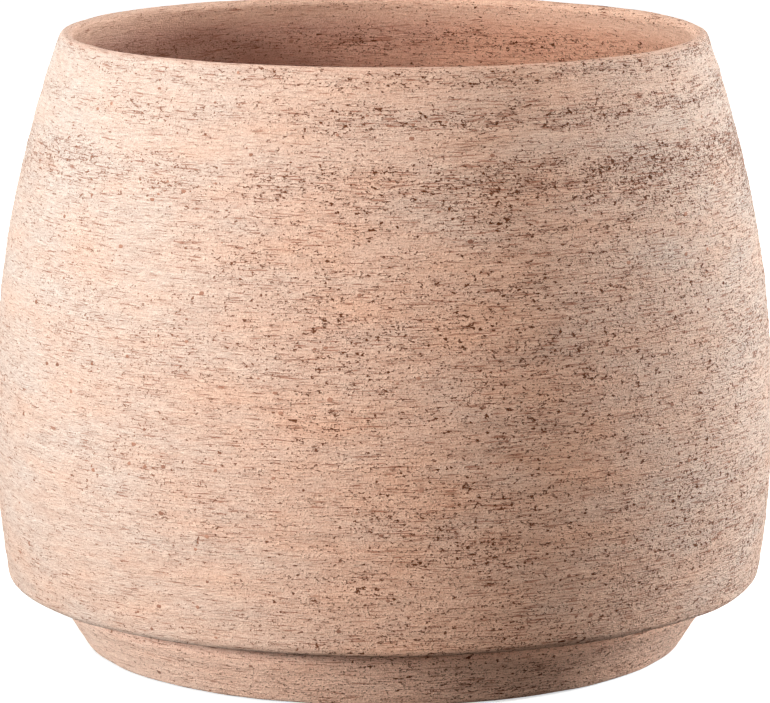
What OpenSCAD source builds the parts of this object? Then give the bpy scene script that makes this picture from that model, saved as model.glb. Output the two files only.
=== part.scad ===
// Belly-shaped plant pot of raw terracotta, standing in its own low saucer.
// Millimetres, +Z up, origin on the ground at the centre of the saucer's base.

/* [Pot] */
// Widest outer diameter, at the belly
belly_d = 300; // [240:1:380]
// Height of the widest part above the pot's own foot
belly_h = 78.5; // [50:0.5:110]
// Height from the pot's own foot to the top of its rim
pot_h = 228; // [180:1:300]
// How far the wall has leaned in, from the belly, where the rim's rounding begins
mouth_inset = 26; // [8:0.5:60]
// How far the wall has turned in, from the belly, where the bottom edge's rounding begins
edge_inset = 4.5; // [1.5:0.25:15]
// Radius of the round bottom edge of the belly
edge_round = 4; // [2:0.5:8]
// Thickness of the wall at the belly
wall_t = 9; // [6:0.5:12]
// Thickness of the wall at the rim, which is fully round
rim_t = 6; // [4:0.5:9]
// Thickness of the floor
floor_t = 10; // [7:0.5:14]
// Radius of the inside corner between wall and floor
floor_round = 16; // [6:1:20]

/* [Foot ring] */
// Width of the ring that the pot stands on
foot_w = 12; // [8:0.5:18]
// Chamfer on the ring's lower edges
foot_chamfer = 1.5; // [0.5:0.25:3]
// Number of drain notches across the ring
notch_count = 3; // [3:1:6]
// Width of a drain notch
notch_w = 12; // [6:0.5:20]
// Height of a drain notch
notch_h = 5; // [3:0.5:8]

/* [Drain hole] */
// Diameter of the hole in the pot's floor
drain_d = 24; // [12:0.5:40]

/* [Saucer] */
// How far the foot of the saucer's wall stands in from the bottom edge of the belly
saucer_inset = 30.5; // [12:0.5:50]
// Height of the saucer
saucer_h = 22; // [18:0.5:35]
// Lean of the wall from upright, in degrees
saucer_lean = 32; // [15:1:38]
// Thickness of the wall, which has a round top
saucer_wall_t = 7; // [5:0.5:9]
// Thickness of the floor under the foot ring
saucer_floor_t = 8; // [6:0.5:11]
// Radius of the round edge at the base
saucer_edge_round = 4; // [1:0.5:6]
// Radius of the inside corner between wall and floor
saucer_corner_round = 4; // [2:0.5:6]
// Width of the flat ring that the saucer stands on
stand_w = 16; // [8:1:24]
// Depth of the hollow inside that flat ring
stand_recess = 1.5; // [0.5:0.25:2.5]

/* [Clearances] */
// Gap between the saucer's rim and the underside of the belly
rim_gap = 3.5; // [1.5:0.25:8]
// Gap between the foot ring and the foot of the saucer's wall
foot_gap = 12; // [5:0.5:16]

/* [Hidden] */

$fn = 180;
cut = 1; // how far a cutter runs past a face
first_notch = 90; // direction of the first drain notch, +Y

// Levels above the ground, and the belly's radius
foot_z = saucer_floor_t;
under_z = saucer_h + rim_gap;
floor_z = under_z + floor_t;
belly_z = foot_z + belly_h;
rim_z = foot_z + pot_h;
belly_r = belly_d / 2;

// Saucer: its wall is a slab that leans outwards, measured along the ground.
lean_run = tan(saucer_lean);
base_r = belly_r - edge_inset - saucer_inset;
inner_base_r = base_r - saucer_wall_t / cos(saucer_lean);
seat_r = inner_base_r + saucer_floor_t * lean_run;
saucer_edge_c = tucked(base_r, saucer_edge_round, saucer_edge_round);
saucer_corner_c = tucked(inner_base_r, saucer_corner_round, saucer_floor_t + saucer_corner_round);
saucer_rim_c = tucked(base_r, saucer_wall_t / 2, saucer_h - saucer_wall_t / 2);

// Foot ring: it stands on the saucer's floor, inside the foot of its wall.
foot_r = seat_r - foot_gap;
foot_inner_r = foot_r - foot_w;
foot_top_z = under_z + floor_t / 2; // inside the floor, which the ring is one with

// Pot: outside arcs, both upright where they meet at the belly.
rim_round = rim_t / 2;
rim_cz = rim_z - rim_round;
upper_r = arc_radius(mouth_inset, rim_cz - belly_z);
upper_c = [belly_r - upper_r, belly_z];
lower_r = arc_radius(edge_inset, belly_z - under_z - edge_round);
lower_c = [belly_r - lower_r, belly_z];
rim_c = [inside_x(upper_c, upper_r, rim_round, rim_cz), rim_cz];
edge_c = [inside_x(lower_c, lower_r, edge_round, under_z + edge_round), under_z + edge_round];

// Pot: inside arcs. The lower one runs parallel to the outside, and the
// upper one starts upright at the belly and meets the rim's round edge.
inner_r = belly_r - wall_t;
inner_lower_r = lower_r - wall_t;
inner_upper_r = touching_radius(rim_c - [inner_r, belly_z], rim_round);
inner_upper_c = [inner_r - inner_upper_r, belly_z];
floor_c = [inside_x(lower_c, inner_lower_r, floor_round, floor_z + floor_round),
           floor_z + floor_round];

// Where one arc hands over to the next.
rim_outer_p = reach(upper_c, rim_c, upper_r);
rim_inner_p = reach(inner_upper_c, rim_c, inner_upper_r);
edge_p = reach(lower_c, edge_c, lower_r);
floor_p = reach(lower_c, floor_c, inner_lower_r);

// Radius of an arc that starts upright and has moved in by `inset` at a height of `rise`.
function arc_radius(inset, rise) = (inset * inset + rise * rise) / (2 * inset);

// Radius of an arc that starts upright at [0, 0] and touches, from inside the
// vessel, a circle of radius `r` whose centre is at `p`.
function touching_radius(p, r) = (p.x * p.x + p.y * p.y - r * r) / (2 * (r - p.x));

// X of the centre of a circle of radius `r` at height `z` that lies inside the
// arc of radius `big_r` about `c` and touches it.
function inside_x(c, big_r, r, z) = c.x + sqrt(pow(big_r - r, 2) - pow(z - c.y, 2));

// Point at distance `r` from `from` in the direction of `to`.
function reach(from, to, r) = from + r * (to - from) / norm(to - from);

// Area inside an arc, from the axis outwards, between two heights.
module arc_slab(c, r, low_z, high_z) {
    intersection() {
        translate(c) circle(r = r);
        translate([0, low_z]) square([c.x + r + cut, high_z - low_z]);
    }
}

module pot_outside() {
    arc_slab(upper_c, upper_r, belly_z, rim_outer_p.y);
    arc_slab(lower_c, lower_r, edge_p.y, belly_z);
    translate(edge_c) circle(r = edge_round);
    polygon([[0, under_z], [edge_c.x, under_z], edge_c, edge_p, [0, edge_p.y]]);
}

module pot_inside() {
    arc_slab(inner_upper_c, inner_upper_r, belly_z, rim_inner_p.y);
    arc_slab(lower_c, inner_lower_r, floor_p.y, belly_z);
    translate(floor_c) circle(r = floor_round);
    polygon([[0, floor_z], [floor_c.x, floor_z], floor_c, floor_p, [0, floor_p.y]]);
    // Mouth, above the line across the rim
    polygon([[0, rim_inner_p.y], rim_inner_p, rim_outer_p, [belly_r, rim_outer_p.y],
             [belly_r, rim_z + cut], [0, rim_z + cut]]);
}

module foot_section() {
    polygon([[foot_inner_r + foot_chamfer, foot_z], [foot_r - foot_chamfer, foot_z],
             [foot_r, foot_z + foot_chamfer], [foot_r, foot_top_z],
             [foot_inner_r, foot_top_z], [foot_inner_r, foot_z + foot_chamfer]]);
}

module pot() {
    color([0.84, 0.69, 0.59])
    difference() {
        rotate_extrude() {
            difference() {
                pot_outside();
                pot_inside();
            }
            translate(rim_c) circle(r = rim_round);
            foot_section();
        }
        translate([0, 0, under_z - cut])
            cylinder(h = floor_t + 2 * cut, d = drain_d);
        for (i = [0 : notch_count - 1])
            rotate([0, 0, first_notch + i * 360 / notch_count])
                translate([foot_inner_r - cut, -notch_w / 2, foot_z - cut])
                    cube([foot_w + 2 * cut, notch_w, notch_h + cut]);
    }
}

// Centre, at height `z`, of a circle that touches a leaning wall from the axis
// side. The wall's line meets the ground at `ground_r`.
function tucked(ground_r, r, z) = [ground_r + z * lean_run - r / cos(saucer_lean), z];

// Point at distance `r` from `c`, square to the leaning wall. A negative `r`
// is on the axis side.
function beside(c, r) = c + r * [cos(saucer_lean), -sin(saucer_lean)];

module saucer_outside() {
    translate(saucer_edge_c) circle(r = saucer_edge_round);
    polygon([[0, 0], [saucer_edge_c.x, 0], saucer_edge_c,
             beside(saucer_edge_c, saucer_edge_round),
             beside(saucer_rim_c, saucer_wall_t / 2),
             beside(saucer_rim_c, -saucer_wall_t / 2),
             [0, beside(saucer_rim_c, -saucer_wall_t / 2).y]]);
}

module saucer_inside() {
    translate(saucer_corner_c) circle(r = saucer_corner_round);
    polygon([[0, saucer_floor_t], [saucer_corner_c.x, saucer_floor_t], saucer_corner_c,
             beside(saucer_corner_c, saucer_corner_round),
             beside(saucer_rim_c, -saucer_wall_t / 2),
             beside(saucer_rim_c, saucer_wall_t / 2),
             [saucer_rim_c.x, saucer_h + cut], [0, saucer_h + cut]]);
}

module saucer() {
    color([0.82, 0.67, 0.57])
    rotate_extrude() {
        difference() {
            saucer_outside();
            saucer_inside();
            translate([0, -cut]) square([saucer_edge_c.x - stand_w, stand_recess + cut]);
        }
        translate(saucer_rim_c) circle(r = saucer_wall_t / 2);
    }
}

saucer();
pot();
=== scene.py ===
import math
import bpy
import numpy as np
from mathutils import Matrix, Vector


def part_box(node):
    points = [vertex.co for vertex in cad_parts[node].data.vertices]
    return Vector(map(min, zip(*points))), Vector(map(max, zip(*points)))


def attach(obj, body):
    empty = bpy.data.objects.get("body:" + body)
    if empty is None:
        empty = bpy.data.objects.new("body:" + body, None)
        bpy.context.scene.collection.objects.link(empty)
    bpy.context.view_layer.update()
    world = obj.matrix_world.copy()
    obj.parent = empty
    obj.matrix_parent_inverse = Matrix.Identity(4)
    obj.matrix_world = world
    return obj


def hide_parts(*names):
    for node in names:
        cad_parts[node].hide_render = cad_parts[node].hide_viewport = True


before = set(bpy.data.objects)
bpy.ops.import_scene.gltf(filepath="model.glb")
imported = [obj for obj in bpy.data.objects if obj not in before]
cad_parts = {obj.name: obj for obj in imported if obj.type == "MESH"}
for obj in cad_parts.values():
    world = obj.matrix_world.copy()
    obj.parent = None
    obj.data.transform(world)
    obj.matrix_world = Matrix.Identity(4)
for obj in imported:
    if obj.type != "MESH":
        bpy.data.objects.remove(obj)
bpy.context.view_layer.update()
mm = 0.001
print("frame loaded:", ", ".join(sorted(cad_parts)))


# Outlines. A half section is a loop of [radius, height] points in millimetres. It runs up the
# outside, over the rim, down the inside and back below, so that a turned surface faces outwards.
# Each stretch of it has the name of its region. The last value in each call is the points' spacing.

def arcPoints(centre, radius, start, end, pitch):
    # centre + radius * (cos t, sin t), t from start to end in degrees, without the last point
    span = math.radians(end - start)
    steps = max(2, round(abs(span) * radius / pitch))
    t = math.radians(start) + span * np.arange(steps) / steps
    return np.column_stack([centre[0] + radius * np.cos(t), centre[1] + radius * np.sin(t)])


def linePoints(start, end, pitch):
    # start + (end - start) * t, without the last point
    start, end = np.array(start, float), np.array(end, float)
    steps = max(1, round(np.linalg.norm(end - start) / pitch))
    return start + (end - start) * (np.arange(steps) / steps)[:, None]


def angleTo(centre, point):
    return math.degrees(math.atan2(point[1] - centre[1], point[0] - centre[0]))


potForm = dict(
    skin=0.3,            # how far the turned surface lies inside the nominal one, so lumps stay inside
    bellyUp=78.5,        # height of the widest part above the pot's foot
    mouthInset=26.0,
    edgeInset=4.5,
    edgeRound=4.0,
    wall=9.0,
    rimWidth=6.0,
    floorThick=10.0,
    floorRound=16.0,
    underside=25.5,
    footWidth=12.0,
    footRadius=99.745,
    footChamfer=1.5,
    drainRadius=12.0,
    notches=3,
    notchWidth=12.0,
    notchHeight=5.0,
    columns=330,
    outsidePitch=1.65,
    insidePitch=2.7,
)


def potOutline(form):
    low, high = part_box("pot")
    footZ, rimZ, belly = low.z / mm, high.z / mm, high.x / mm
    rim = form["rimWidth"] / 2
    bellyZ, rimCentreZ = footZ + form["bellyUp"], rimZ - rim
    edge, floorRound = form["edgeRound"], form["floorRound"]
    under = form["underside"]
    floorZ = under + form["floorThick"]

    def uprightArc(inset, rise):  # radius of an arc that starts upright and moves in by inset
        return (inset ** 2 + rise ** 2) / (2 * inset)

    upper = uprightArc(form["mouthInset"], rimCentreZ - bellyZ)
    lower = uprightArc(form["edgeInset"], bellyZ - under - edge)
    upperC, lowerC = (belly - upper, bellyZ), (belly - lower, bellyZ)
    rimC = (upperC[0] + math.sqrt((upper - rim) ** 2 - (rimCentreZ - bellyZ) ** 2), rimCentreZ)
    edgeC = (lowerC[0] + math.sqrt((lower - edge) ** 2 - (under + edge - bellyZ) ** 2), under + edge)
    dx, dz = rimC[0] - (belly - form["wall"]), rimCentreZ - bellyZ
    innerUpper = (dx ** 2 + dz ** 2 - rim ** 2) / (2 * (rim - dx))
    innerUpperC = (belly - form["wall"] - innerUpper, bellyZ)
    innerLower = lower - form["wall"]
    cornerZ = floorZ + floorRound
    cornerC = (lowerC[0] + math.sqrt((innerLower - floorRound) ** 2 - (cornerZ - bellyZ) ** 2), cornerZ)
    footOut = form["footRadius"]
    footIn, chamfer, hole = footOut - form["footWidth"], form["footChamfer"], form["drainRadius"]
    fine, coarse = form["outsidePitch"], form["insidePitch"]
    rimTurn, innerTurn = angleTo(upperC, rimC), angleTo(innerUpperC, rimC)
    cornerTurn = angleTo(lowerC, cornerC)
    return [
        ("seat", linePoints(((footIn + footOut) / 2, footZ), (footOut - chamfer, footZ), 2)),
        ("seat", linePoints((footOut - chamfer, footZ), (footOut, footZ + chamfer), 1)),
        ("under", linePoints((footOut, footZ + chamfer), (footOut, under), 2.5)),
        ("under", linePoints((footOut, under), (edgeC[0], under), 5)),
        ("outside", arcPoints(edgeC, edge, -90, angleTo(lowerC, edgeC), 1.0)),
        ("outside", arcPoints(lowerC, lower, angleTo(lowerC, edgeC), 0, fine)),
        ("outside", arcPoints(upperC, upper, 0, rimTurn, fine)),
        ("rim", arcPoints(rimC, rim, rimTurn, 180 + innerTurn, 0.75)),
        ("inside", arcPoints(innerUpperC, innerUpper, innerTurn, 0, coarse)),
        ("inside", arcPoints(lowerC, innerLower, 0, cornerTurn, coarse)),
        ("inside", arcPoints(cornerC, floorRound, cornerTurn, -90, 3)),
        ("floor", linePoints((cornerC[0], floorZ), (hole, floorZ), 8)),
        ("under", linePoints((hole, floorZ), (hole, under), 3.4)),
        ("under", linePoints((hole, under), (footIn, under), 8)),
        ("under", linePoints((footIn, under), (footIn, footZ + chamfer), 2.5)),
        ("seat", linePoints((footIn, footZ + chamfer), (footIn + chamfer, footZ), 1)),
        ("seat", linePoints((footIn + chamfer, footZ), ((footIn + footOut) / 2, footZ), 2)),
    ]


saucerForm = dict(
    skin=0.2,
    foot=115.0,          # radius where the wall's line meets the ground
    lean=32.0,           # degrees from upright
    wall=7.0,
    floorThick=8.0,
    edgeRound=4.0,
    cornerRound=4.0,
    standWidth=16.0,
    recess=1.5,
    middle=8.0,          # the floor is left open round the axis, out to this radius
    columns=300,
    outsidePitch=1.0,
    insidePitch=1.8,
)


def saucerOutline(form):
    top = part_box("saucer")[1].z / mm
    lean = math.radians(form["lean"])
    side = np.array([math.cos(lean), -math.sin(lean)])  # square to the wall, outwards

    def tucked(line, radius, height):  # centre of a circle that touches the wall from the axis side
        return np.array([line + height * math.tan(lean) - radius / math.cos(lean), height])

    half, edge, corner = form["wall"] / 2, form["edgeRound"], form["cornerRound"]
    floorZ, recess, middle = form["floorThick"], form["recess"], form["middle"]
    inner = form["foot"] - form["wall"] / math.cos(lean)
    edgeC = tucked(form["foot"], edge, edge)
    rimC = tucked(form["foot"], half, top - half)
    cornerC = tucked(inner, corner, floorZ + corner)
    ring = edgeC[0] - form["standWidth"]
    turn = -form["lean"]
    return [
        ("under", linePoints((middle, recess), (ring, recess), 6)),
        ("under", linePoints((ring, recess), (ring, 0), 0.8)),
        ("seat", linePoints((ring, 0), (edgeC[0], 0), 4)),
        ("outside", arcPoints(edgeC, edge, -90, turn, 0.6)),
        ("outside", linePoints(edgeC + edge * side, rimC + half * side, form["outsidePitch"])),
        ("rim", arcPoints(rimC, half, turn, 180 + turn, 0.9)),
        ("inside", linePoints(rimC - half * side, cornerC + corner * side, form["insidePitch"])),
        ("inside", arcPoints(cornerC, corner, turn, -90, 1)),
        ("floor", linePoints((cornerC[0], floorZ), (middle, floorZ), 3)),
        ("floor", np.array([[middle, floorZ]])),
    ]


# Turned surfaces: a grid of outline rows by columns round the axis

# Number of waves, their length up the pot in mm, and how much longer they are round it
waveSets = dict(sway=(8, 60, 2), ripple=(20, 4.5, 12), lump=(24, 22, 2.2))


def waves(along, turn, seed, count, length, stretch):
    # Sum of random waves cos(m * turn + q * along + phase), whole numbers m, so it closes on itself
    # round the axis
    rng = np.random.default_rng(seed)
    meanRadius = 140.0
    q = rng.normal(0, 2 * math.pi / length, count)
    m = np.round(rng.normal(0, 2 * math.pi * meanRadius / (length * stretch), count))
    phase = rng.uniform(0, 2 * math.pi, count)
    total = np.zeros(np.broadcast(along, turn).shape)
    for k in range(count):
        total += np.cos(m[k] * turn + q[k] * along + phase[k])
    return total / math.sqrt(count / 2)


def turnedSurface(stretches, columns, skin, turning, seed, notches=None):
    # Point(row, turn) = outline(row) + normal(row) * (lumps - skin) * weight(row), turned round Z.
    # Turn 0 faces -Y, and it grows towards +X. Under a notch no point is lower than the notch's roof.
    outline = np.vstack([points for _, points in stretches])
    region = np.concatenate([[name] * len(points) for name, points in stretches])
    tangent = np.roll(outline, -1, 0) - np.roll(outline, 1, 0)
    tangent /= np.linalg.norm(tangent, axis=1)[:, None]
    normal = np.column_stack([tangent[:, 1], -tangent[:, 0]])
    step = np.linalg.norm(np.diff(outline, axis=0), axis=1)
    along = np.concatenate([[0], np.cumsum(step)])
    turn = np.arange(columns) * 2 * math.pi / columns
    if notches:  # extra columns at each notch's sides and just beyond them
        edges = notches["turns"][:, None] + notches["half"] * np.array([[-1.02, -1, 1, 1.02]])
        turn = np.unique(np.round(np.concatenate([turn, edges.ravel()]) % (2 * math.pi), 6))
    weight = np.array([turning[name] for name in region])
    for _ in range(3):  # eases the change from one stretch to the next
        weight = (weight + np.roll(weight, 1) + np.roll(weight, -1)) / 3
    weight = np.where(region == "seat", 0, weight)
    s, t = along[:, None], turn[None, :]
    lumps = (turning["ringDepth"] * np.cos(2 * math.pi * s / turning["ringPitch"] + t
                                           + 1.5 * waves(s, t, seed, *waveSets["sway"]))
             + turning["ripple"] * waves(s, t, seed + 1, *waveSets["ripple"])
             + turning["lump"] * waves(s, t, seed + 2, *waveSets["lump"])
             + turning["outOfRound"] * np.cos(2 * t + 0.9))
    # Lumps never stand past the nominal outline
    offset = weight[:, None] * (np.clip(lumps, -2 * skin, 0.9 * skin) - skin)
    radius = outline[:, :1] + normal[:, :1] * offset
    height = outline[:, 1:] + normal[:, 1:] * offset
    if notches:
        away = np.abs((turn[None, :] - notches["turns"][:, None] + math.pi) % (2 * math.pi) - math.pi)
        under = (away.min(0) <= notches["half"] * 1.001)[None, :]
        height = np.where(under, np.maximum(height, notches["roof"]), height)
    return dict(radius=radius, height=height, turn=turn, along=along, region=region)


def gridPoints(surface):
    # (radius * sin(turn), -radius * cos(turn), height), in metres
    r, z, t = surface["radius"], surface["height"], surface["turn"][None, :]
    return np.stack([r * np.sin(t), -r * np.cos(t), z + 0 * t], -1) * mm


def turnedMesh(name, surface):
    # Quads between neighbouring rows and columns. The last row joins the first, as the columns do.
    points = gridPoints(surface)
    rows, columns = points.shape[:2]
    i, j = np.meshgrid(np.arange(rows), np.arange(columns), indexing="ij")
    up, across = (i + 1) % rows, (j + 1) % columns
    quads = np.stack([i * columns + j, i * columns + across, up * columns + across, up * columns + j], -1)
    mesh = bpy.data.meshes.new(name)
    mesh.from_pydata(points.reshape(-1, 3).tolist(), [], quads.reshape(-1, 4).tolist())
    mesh.update()
    inner = np.isin(surface["region"], ["inside", "floor"]).astype(float)
    rim = np.flatnonzero(surface["region"] == "rim")
    inner[rim] = np.linspace(0, 1, len(rim))
    for label, values in (("along", surface["along"]), ("inner", inner)):
        layer = mesh.attributes.new(label, "FLOAT", "POINT")
        layer.data.foreach_set("value", np.repeat(values, columns).astype(np.float32))
    mesh.shade_smooth()
    mesh.set_sharp_from_angle(angle=math.radians(38))  # keeps the foot's corners crisp
    piece = bpy.data.objects.new(name, mesh)
    bpy.context.scene.collection.objects.link(piece)
    return piece


# Shader maths

class Wire:
    # One output socket. + - * / on wires and numbers add Math nodes.
    def __init__(self, graph, socket):
        self.graph, self.socket = graph, socket

    def maths(self, operation, a, b=None):
        values = {0: a} if b is None else {0: a, 1: b}
        return self.graph.node("ShaderNodeMath", dict(operation=operation), values)

    def output(self, name):  # another output of the same node
        return Wire(self.graph, self.socket.node.outputs[name])

    def __add__(self, other):
        return self.maths("ADD", self, other)

    def __radd__(self, other):
        return self.maths("ADD", other, self)

    def __sub__(self, other):
        return self.maths("SUBTRACT", self, other)

    def __rsub__(self, other):
        return self.maths("SUBTRACT", other, self)

    def __mul__(self, other):
        return self.maths("MULTIPLY", self, other)

    def __rmul__(self, other):
        return self.maths("MULTIPLY", other, self)

    def __truediv__(self, other):
        return self.maths("DIVIDE", self, other)

    def __neg__(self):
        return self.maths("MULTIPLY", self, -1)


class Graph:
    def __init__(self, owner):  # a new material, or the world
        self.owner = owner
        owner.use_nodes = True
        self.tree = owner.node_tree
        self.tree.nodes.clear()

    def node(self, kind, settings=None, values=None, output=0):  # values or wires for its sockets
        made = self.tree.nodes.new(kind)
        for key, value in (settings or {}).items():
            if key == "stops":
                self.setStops(made.color_ramp, value)
            else:
                setattr(made, key, value)
        for key, value in (values or {}).items():
            if isinstance(value, Wire):
                self.tree.links.new(value.socket, made.inputs[key])
            else:
                made.inputs[key].default_value = value
        return Wire(self, made.outputs[output]) if len(made.outputs) else None

    def setStops(self, ramp, stops):
        while len(ramp.elements) < len(stops):
            ramp.elements.new(1.0)
        for element, (place, value) in zip(ramp.elements, stops):
            element.position = place
            element.color = (value, value, value, 1) if isinstance(value, float) else (*value, 1)

    def smooth(self, value, low, high):  # 0 below low, 1 above high, eased between
        return self.node("ShaderNodeMapRange", dict(interpolation_type="SMOOTHSTEP"),
                         {"Value": value, "From Min": low, "From Max": high})

    def mix(self, share, first, second, blend="MIX"):  # two colours
        first, second = (c if isinstance(c, Wire) else (*c, 1) for c in (first, second))
        return self.node("ShaderNodeMix", dict(data_type="RGBA", blend_type=blend),
                         {0: share, 6: first, 7: second}, output=2)

    def noise(self, place, detail, roughness):
        return self.node("ShaderNodeTexNoise", {},
                         {"Vector": place, "Scale": 1.0, "Detail": detail, "Roughness": roughness}, "Fac")


class ClayGraph(Graph):
    # Places on the clay are x, y and the way along the outline, in millimetres, so a pattern can be
    # stretched round the pot without a seam.
    def __init__(self, name):
        super().__init__(bpy.data.materials.new(name))
        at = self.node("ShaderNodeTexCoord", output="Object")
        split = self.node("ShaderNodeSeparateXYZ", {}, {0: at})
        self.x, self.y, self.z = (split.output(axis) / mm for axis in "XYZ")
        self.along = self.node("ShaderNodeAttribute", dict(attribute_name="along"), output="Fac")

    def place(self, width, height, shift):
        # A place counted in cells of this width round the pot and this height up it
        return self.node("ShaderNodeCombineXYZ", {},
                         {0: self.x / width + shift, 1: self.y / width, 2: self.along / height})


potClay = dict(
    name="raw_terracotta_pot",
    base=(0.81, 0.512, 0.373),
    warm=(0.82, 0.48, 0.325),
    # Inside the mouth: inside is a painted shaded copy of the clay, and insideLit a painted lit copy for
    # the right of the inner wall, where light falls
    pale=(0.715, 0.585, 0.505),
    inside=(0.70, 0.43, 0.34),
    insideLit=(0.81, 0.465, 0.32),
    lipInside=(0.82, 0.55, 0.41),
    lipLow=222.0,        # the wiped zone inside the rim fades in from here
    lipHigh=231.0,
    pit=(0.175, 0.056, 0.022),
    paintedLitPit=(0.43, 0.20, 0.125),   # pits painted lighter on the lit flank, a painted highlight
    rust=(0.38, 0.125, 0.06),
    topHeight=236.0,
    pitCut=0.677,        # noise above this is a pit, where pits lie thinnest
    pitSpread=0.11,      # how far the cut drops where they lie thickest
    # how thick the pits lie, 0 to 1, by height as a share of topHeight
    pitBands=[(0.0, 0.50), (0.30, 0.52), (0.60, 0.53), (0.73, 0.50), (0.788, 0.55), (0.818, 0.78),
              (0.852, 0.80), (0.873, 0.32), (0.890, 0.22), (0.902, 0.42), (0.919, 0.70), (0.936, 0.62),
              (0.953, 0.22), (0.966, 0.26), (0.981, 0.70), (0.992, 0.66), (1.0, 0.40)],
)


saucerClay = dict(
    potClay,
    name="raw_terracotta_saucer",
    base=(0.91, 0.585, 0.435),
    warm=(0.91, 0.54, 0.38),
    pale=(0.92, 0.69, 0.565),
    pitBands=[(0.0, 0.48), (1.0, 0.48)],
)


# Cell width round the pot and height up it in mm, a shift that keeps one pattern off another, and
# the noise's detail and roughness
patterns = dict(
    swayWide=(45, 30, 13.0, 2, 0.6),
    swayFine=(6, 4, 17.0, 1, 0.5),
    patches=(16, 3.0, 0.0, 2, 0.6),
    drift=(50, 40, 7.0, 1, 0.5),
    fine=(1.0, 0.68, 3.0, 2, 0.65),
    coarse=(2.1, 1.2, 11.0, 2, 0.65),
    lines=(7.0, 0.42, 19.0, 3, 0.5),
    comb=(5.0, 0.5, 23.0, 2, 0.6),
    broad=(34, 1.8, 29.0, 2, 0.5),
    grain=(0.55, 0.45, 31.0, 1, 0.6),
    warmth=(55, 30, 37.0, 2, 0.55),
    bloomAndPaintedHighlight=(42, 14, 41.0, 3, 0.6),
)

# How far the patterns shift the bands of pits up or down in mm, and how much they thicken them
pitting = dict(swayWide=9, swayFine=10, patches=1.2, drift=0.6, shadedSide=0.38, inside=0.24,
               everywhere=-0.24, lip=-0.4)

# How much lighter or darker each pattern makes the clay: the clay's random tone, with the shading of its
# comb lines and grain painted in. A collar is a painted highlight round a speck, where the clay stands
# raised.
toneAndShade = dict(mean=0.96, comb=0.8, broad=0.2, grain=0.9, collarHighlight=0.10)

# Where the clay is painted paler: pale bloom in patches, paler towards the top, and a painted highlight on
# the lit left flank and on the right edge
bloomAndHighlightShares = dict(litSide=0.52, shadedSide=0.5, height=0.38, everywhere=-0.02, patches=1.1)

# Relief in mm, up from the skin or down into it
relief = dict(speck=-0.22, pit=-0.35, drag=-0.14, comb=0.6, broad=0.1, grain=0.4, fine=0.5)


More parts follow.
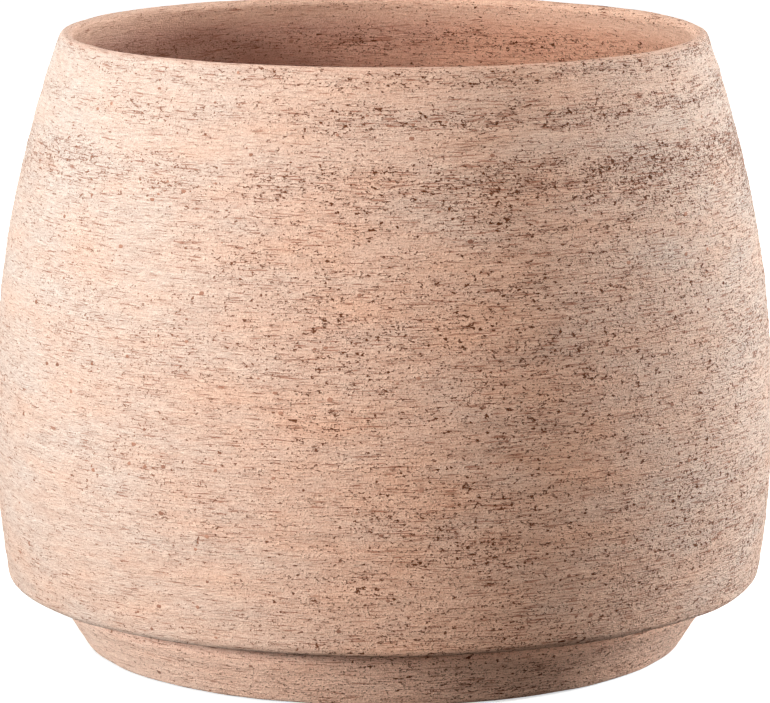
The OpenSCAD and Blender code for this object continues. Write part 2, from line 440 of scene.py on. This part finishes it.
def clayMaterial(look):
    g = ClayGraph(look["name"])

    def pattern(name):
        width, height, shift, detail, roughness = patterns[name]
        return g.noise(g.place(width, height, shift), detail, roughness)

    inner = g.node("ShaderNodeAttribute", dict(attribute_name="inner"), output="Fac")
    # How thick the pits lie: bands by height, broken up by drifting patches
    lipZone = inner * g.smooth(g.z, look["lipLow"], look["lipHigh"])
    swayWide = (pattern("swayWide") - 0.5) * pitting["swayWide"]
    swayFine = (pattern("swayFine") - 0.5) * pitting["swayFine"]
    bands = g.node("ShaderNodeValToRGB", dict(stops=[(p, float(v)) for p, v in look["pitBands"]]),
                   {"Fac": (g.z + (swayWide + swayFine)) / look["topHeight"]})
    patches = (pattern("patches") - 0.5) * pitting["patches"]
    drift = (pattern("drift") - 0.5) * pitting["drift"]
    # Pits lie thicker towards +X, on the side away from the key light: partly a drift in the clay, partly
    # painted shade, as specks show darker there
    side = g.smooth(g.x, -100.0, 80.0) * pitting["shadedSide"] * (1 - inner) + inner * pitting["inside"]
    dense = bands + patches + drift + side + pitting["everywhere"] + lipZone * pitting["lip"]
    # Specks: the peaks of a fine noise, where the tool has pulled grains out
    fine = pattern("fine")
    coarse = pattern("coarse")
    cut = look["pitCut"] - dense * look["pitSpread"]
    speck = g.smooth(fine - cut, -0.01, 0.022)
    pit = g.smooth(coarse - cut, 0.012, 0.037)
    # Drag lines, pulled sideways by the tool
    drag = g.smooth(pattern("lines") - cut, -0.035, 0.02)
    # Fine combing and grain
    comb = pattern("comb")
    broad = pattern("broad")
    grain = pattern("grain")
    # Colour
    warmth = g.smooth(pattern("warmth"), 0.42, 0.66)
    patch = pattern("bloomAndPaintedHighlight") - 0.5
    # Painted highlight: the clay is paler on the left flank that faces the key light and on the right edge
    # that the edge lights graze; on top of that it is paler towards the top and in pale bloom patches
    paintedHighlightSides = (g.smooth(-g.x, 0.0, 115.0) * bloomAndHighlightShares["litSide"]
             + g.smooth(g.x, 60.0, 150.0) * bloomAndHighlightShares["shadedSide"])
    height = g.z / look["topHeight"] * bloomAndHighlightShares["height"]
    bloomAndPaintedHighlight = g.node("ShaderNodeClamp", {}, {0: paintedHighlightSides + height + bloomAndHighlightShares["everywhere"]
                                              + patch * bloomAndHighlightShares["patches"]})
    clay = g.mix(warmth * 0.55, look["base"], look["warm"])
    clay = g.mix(bloomAndPaintedHighlight * (1 - inner * 0.85), clay, look["pale"])
    # Painted light and shade inside: the shaded copy on the left of the inner wall, the lit copy on its
    # right
    inside = g.mix(g.smooth(g.x + patch * 120, -50.0, 60.0), look["inside"], look["insideLit"])
    clay = g.mix(inner * 0.85, clay, inside)
    clay = g.mix(lipZone * 0.85, clay, look["lipInside"])
    # Painted shade and light: a painted highlight ring round each speck, and the shading of the comb lines
    # and grain painted over the clay's random tone
    collarHighlight = g.smooth(fine - cut, -0.10, -0.035) * (1 - speck)
    shade = (toneAndShade["mean"] + (comb - 0.5) * toneAndShade["comb"] + (broad - 0.5) * toneAndShade["broad"]
             + (grain - 0.5) * toneAndShade["grain"] + collarHighlight * toneAndShade["collarHighlight"])
    # Darker clay, painted shade included, is also redder
    tint = g.node("ShaderNodeCombineColor", {}, {0: shade * 0.65 + 0.35, 1: shade, 2: shade * 1.1 - 0.1})
    clay = g.mix(1.0, clay, tint, "MULTIPLY")
    clay = g.mix(drag * 0.7, clay, look["rust"])
    hole = g.node("ShaderNodeMath", dict(operation="MAXIMUM"), {0: speck * 0.92, 1: pit})
    # Painted highlight and shade on the pits: lighter on the lit left flank, darkest towards the shaded
    # right
    pitColour = g.mix(g.smooth(patch * 80 - g.x, 0.0, 105.0) * 0.8, look["pit"], look["paintedLitPit"])
    clay = g.mix(hole, clay, pitColour)
    layers = dict(speck=speck, pit=pit, drag=drag, comb=comb, broad=broad, grain=grain, fine=fine)
    depth = sum(wire * relief[name] for name, wire in layers.items())
    bump = g.node("ShaderNodeBump", {}, {"Strength": 1.0, "Distance": mm, "Height": depth})
    shader = g.node("ShaderNodeBsdfPrincipled", {},
                    {"Base Color": clay, "Roughness": 0.95, "Specular IOR Level": 0.2,
                     "Diffuse Roughness": 0.5, "Normal": bump})
    g.node("ShaderNodeOutputMaterial", {}, {"Surface": shader})
    return g.owner


# The pot and the saucer

# How much of the lumps each region shows, then the lumps themselves in mm
potTurning = dict(outside=1.0, rim=0.7, inside=1.0, floor=0.6, under=0.4, seat=0.0,
                  ringDepth=0.06, ringPitch=8.5, ripple=0.035, lump=0.09, outOfRound=0.12,
                  seed=11)
saucerTurning = dict(outside=1.0, rim=0.8, inside=0.8, floor=0.6, under=0.3, seat=0.0,
                     ringDepth=0.05, ringPitch=6.0, ripple=0.03, lump=0.06, outOfRound=0.06,
                     seed=47)


def makePot():
    count, foot = potForm["notches"], potForm["footRadius"]
    turns = math.pi + np.arange(count) * 2 * math.pi / count
    notches = dict(turns=turns, half=potForm["notchWidth"] / 2 / foot,
                   roof=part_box("pot")[0].z / mm + potForm["notchHeight"])
    surface = turnedSurface(potOutline(potForm), potForm["columns"], potForm["skin"],
                            potTurning, potTurning["seed"], notches)
    return turnedMesh("pot_clay", surface), surface


def makeSaucer():
    surface = turnedSurface(saucerOutline(saucerForm), saucerForm["columns"], saucerForm["skin"],
                            saucerTurning, saucerTurning["seed"])
    return turnedMesh("saucer_clay", surface), surface


# Grog: crushed brick in the clay, which shows as flakes in the skin

grog = dict(
    corners=7,
    smallest=0.45,       # half a flake's width
    largest=1.45,
    rareness=2.0,        # above 1, small flakes outnumber large ones
    flatness=0.75,       # height of a flake as a share of its width
    facet=0.6,           # width of the flat top as a share of the flake's
    proud=0.07,
    sunk=0.06,
    grainsPerMetre=2200.0,
    light=(0.47, 0.235, 0.155),
    dark=(0.22, 0.095, 0.06),
)

# Name: the body it sits in, the regions of its surface, the number of flakes and the seed
grogSets = {
    "pot_grog_outside": ("pot", ["outside"], 620, 5),
    "pot_grog_inside": ("pot", ["inside", "floor"], 220, 6),
    "saucer_grog": ("saucer", ["outside", "inside"], 90, 7),
}


def grogMesh(name, surface, regions, count, seed, form):
    # Flake = rings of points round its own middle, each at
    # middle + across * width * cos(angle) + up * height * sin(angle) + out * lift(ring)
    rng = np.random.default_rng(seed)
    points = gridPoints(surface)
    wanted = np.isin(surface["region"], regions)
    wanted[-2:] = False  # the last rows have none above them
    area = surface["radius"].mean(1) * np.abs(np.gradient(surface["along"])) * wanted
    row = rng.choice(len(area), count, p=area / area.sum())
    column = rng.integers(0, points.shape[1], count)
    corner = points[row, column]
    across = points[row, (column + 1) % points.shape[1]] - corner
    up = points[row + 1, column] - corner
    middle = corner + across * rng.uniform(0, 1, (count, 1)) + up * rng.uniform(0, 1, (count, 1))
    across /= np.linalg.norm(across, axis=1)[:, None]
    out = np.cross(across, up)
    out /= np.linalg.norm(out, axis=1)[:, None]
    up = np.cross(out, across)
    corners = form["corners"]
    angle = (np.arange(corners) + rng.uniform(-0.3, 0.3, (count, corners))) * 2 * math.pi / corners
    reach = rng.uniform(0.72, 1.2, (count, corners))
    share = rng.uniform(0, 1, count) ** form["rareness"]
    size = form["smallest"] + (form["largest"] - form["smallest"]) * share
    a = (size[:, None] * reach * np.cos(angle))[..., None] * across[:, None]
    b = (size[:, None] * form["flatness"] * reach * np.sin(angle))[..., None] * up[:, None]
    ring = (a + b) * mm
    lift = np.array([form["proud"], -form["sunk"], form["proud"] * 1.1, -2.5 * form["sunk"]]) * mm
    middles = middle[:, None]
    heights = [out[:, None] * step for step in lift]
    vertices = np.concatenate([middles + ring * form["facet"] + heights[0], middles + ring + heights[1],
                               middles + heights[2], middles + heights[3]], 1)
    k = np.arange(corners)
    n = (k + 1) % corners
    top, bottom = np.full(corners, 2 * corners), np.full(corners, 2 * corners + 1)
    pattern = ([list(f) for f in np.column_stack([top, k, n])]
               + [list(f) for f in np.column_stack([k, corners + k, corners + n, n])]
               + [list(f) for f in np.column_stack([bottom, corners + n, corners + k])])
    perFlake = 2 * corners + 2
    faces = [[int(v) + perFlake * flake for v in face] for flake in range(count) for face in pattern]
    mesh = bpy.data.meshes.new(name)
    mesh.from_pydata(vertices.reshape(-1, 3).tolist(), [], faces)
    mesh.update()
    tone = mesh.attributes.new("tone", "FLOAT", "POINT")
    tone.data.foreach_set("value", np.repeat(rng.uniform(0, 1, count), perFlake).astype(np.float32))
    piece = bpy.data.objects.new(name, mesh)
    bpy.context.scene.collection.objects.link(piece)
    return piece


def grogMaterial(form):
    g = Graph(bpy.data.materials.new("grog"))
    tone = g.node("ShaderNodeAttribute", dict(attribute_name="tone"), output="Fac")
    at = g.node("ShaderNodeTexCoord", output="Object")
    spot = g.node("ShaderNodeVectorMath", dict(operation="SCALE"), {0: at, "Scale": form["grainsPerMetre"]})
    grain = g.noise(spot, 2, 0.6)
    colour = g.mix(tone * 0.8 + (grain - 0.5) * 0.9, form["light"], form["dark"])
    bump = g.node("ShaderNodeBump", {}, {"Strength": 0.8, "Distance": mm, "Height": grain * 0.15})
    shader = g.node("ShaderNodeBsdfPrincipled", {},
                    {"Base Color": colour, "Roughness": 0.9, "Specular IOR Level": 0.25, "Normal": bump})
    g.node("ShaderNodeOutputMaterial", {}, {"Surface": shader})
    return g.owner


pot, potSurface = makePot()
saucer, saucerSurface = makeSaucer()
grogFinish = grogMaterial(grog)
for piece, node, look in ((pot, "pot", potClay), (saucer, "saucer", saucerClay)):
    piece.data.materials.append(clayMaterial(look))
    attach(piece, node)
    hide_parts(node)
print("pot and saucer:", len(pot.data.polygons), len(saucer.data.polygons), "faces")

surfaces = dict(pot=potSurface, saucer=saucerSurface)
for name, (node, regions, count, seed) in grogSets.items():
    flakes = grogMesh(name, surfaces[node], regions, count, seed, grog)
    flakes.data.materials.append(grogFinish)
    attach(flakes, node)
print("grog ready")


# Studio: pale floor, soft lights and the camera

studio = dict(
    floorSize=12.0,
    floorDrop=0.0002,           # keeps the floor just clear of the saucer
    floorColour=(0.86, 0.86, 0.86),
    floorNear=(0.62, 0.5),      # glow where the pot stands, and the radius in metres it reaches
    floorFar=(1.02, 1.3),
    floorBounce=0.03,           # how little of the light the floor throws back at the pot
    cameraDistance=1.8082,
    cameraHeight=0.4403,
    cameraSide=0.0006,
    cameraDip=10.313,
    focalLength=223.1,
    sensorWidth=36.0,
    aimHeight=0.12,             # the lights point at the axis, this far up
    # name: azimuth from the front towards +X, elevation, distance, size, watts, colour
    lights=dict(
        lowKey=(-68, 5, 1.6, 0.35, 15.7, (0.92, 1.0, 1.04)),
        frontKey=(-48, 15, 1.6, 0.35, 17.0, (0.98, 0.98, 0.96)),
        topKey=(-60, 70, 1.6, 0.35, 8.6, (0.95, 1.0, 1.03)),
        fill=(27, 5, 1.6, 0.35, 5.2, (0.97, 0.92, 0.87)),
        topFill=(10, 60, 1.6, 0.35, 6.6, (1.0, 0.95, 0.9)),
        edge=(110, 6, 1.6, 0.35, 43, (0.95, 1.0, 1.02)),
        highEdge=(100, 20, 1.6, 0.35, 9.0, (0.97, 1.0, 1.0)),
        back=(187, 22, 1.6, 0.7, 17, (1.0, 0.98, 0.96)),
    ),
)


def addFloor(settings):
    bpy.ops.mesh.primitive_plane_add(size=settings["floorSize"],
                                     location=(0, 0, -settings["floorDrop"]))
    floor = bpy.context.object
    floor.name = "floor"
    g = Graph(bpy.data.materials.new("pale_floor"))
    at = g.node("ShaderNodeTexCoord", output="Object")
    radius = g.node("ShaderNodeVectorMath", dict(operation="LENGTH"), {0: at}, output="Value")
    seen = g.node("ShaderNodeLightPath", output="Is Camera Ray")
    (nearGlow, near), (farGlow, far) = settings["floorNear"], settings["floorFar"]
    glow = nearGlow + (farGlow - nearGlow) * g.smooth(radius, near, far)
    bounce = (settings["floorBounce"],) * 3
    shader = g.node("ShaderNodeBsdfPrincipled", {},
                    {"Base Color": g.mix(seen, bounce, settings["floorColour"]), "Roughness": 0.9,
                     "Specular IOR Level": 0.0, "Emission Strength": 1.0,
                     "Emission Color": g.mix(glow * seen, (0, 0, 0), (1, 1, 1))})
    g.node("ShaderNodeOutputMaterial", {}, {"Surface": shader})
    floor.data.materials.append(g.owner)


def addWorld():  # white behind the pot, and no light from it
    world = bpy.data.worlds.new("studio")
    bpy.context.scene.world = world
    g = Graph(world)
    white = g.node("ShaderNodeBackground", {}, {"Color": (1, 1, 1, 1), "Strength": 1.0})
    dark = g.node("ShaderNodeBackground", {}, {"Color": (0, 0, 0, 1), "Strength": 1.0})
    seen = g.node("ShaderNodeLightPath", output="Is Camera Ray")
    either = g.node("ShaderNodeMixShader", {}, {0: seen, 1: dark, 2: white})
    g.node("ShaderNodeOutputWorld", {}, {"Surface": either})


def addLight(name, aimHeight, azimuth, elevation, distance, size, watts, colour):
    data = bpy.data.lights.new(name, "AREA")
    data.shape = "DISK"
    data.size, data.energy, data.color = size, watts, colour
    light = bpy.data.objects.new(name, data)
    a, e = math.radians(azimuth), math.radians(elevation)
    aim = Vector((0, 0, aimHeight))
    towards = Vector((math.sin(a) * math.cos(e), -math.cos(a) * math.cos(e), math.sin(e)))
    light.location = aim + distance * towards
    light.rotation_euler = (light.location - aim).to_track_quat("Z", "Y").to_euler()
    light.visible_camera = False
    bpy.context.scene.collection.objects.link(light)


def addCamera(settings):
    data = bpy.data.cameras.new("camera")
    data.lens, data.sensor_width = settings["focalLength"], settings["sensorWidth"]
    camera = bpy.data.objects.new("camera", data)
    camera.location = (settings["cameraSide"], -settings["cameraDistance"], settings["cameraHeight"])
    camera.rotation_euler = (math.radians(90 - settings["cameraDip"]), 0, 0)
    bpy.context.scene.collection.objects.link(camera)
    bpy.context.scene.camera = camera


addFloor(studio)
addWorld()
for name, values in studio["lights"].items():
    addLight(name, studio["aimHeight"], *values)
addCamera(studio)
bpy.context.scene.view_settings.view_transform = "Standard"
print("studio ready")
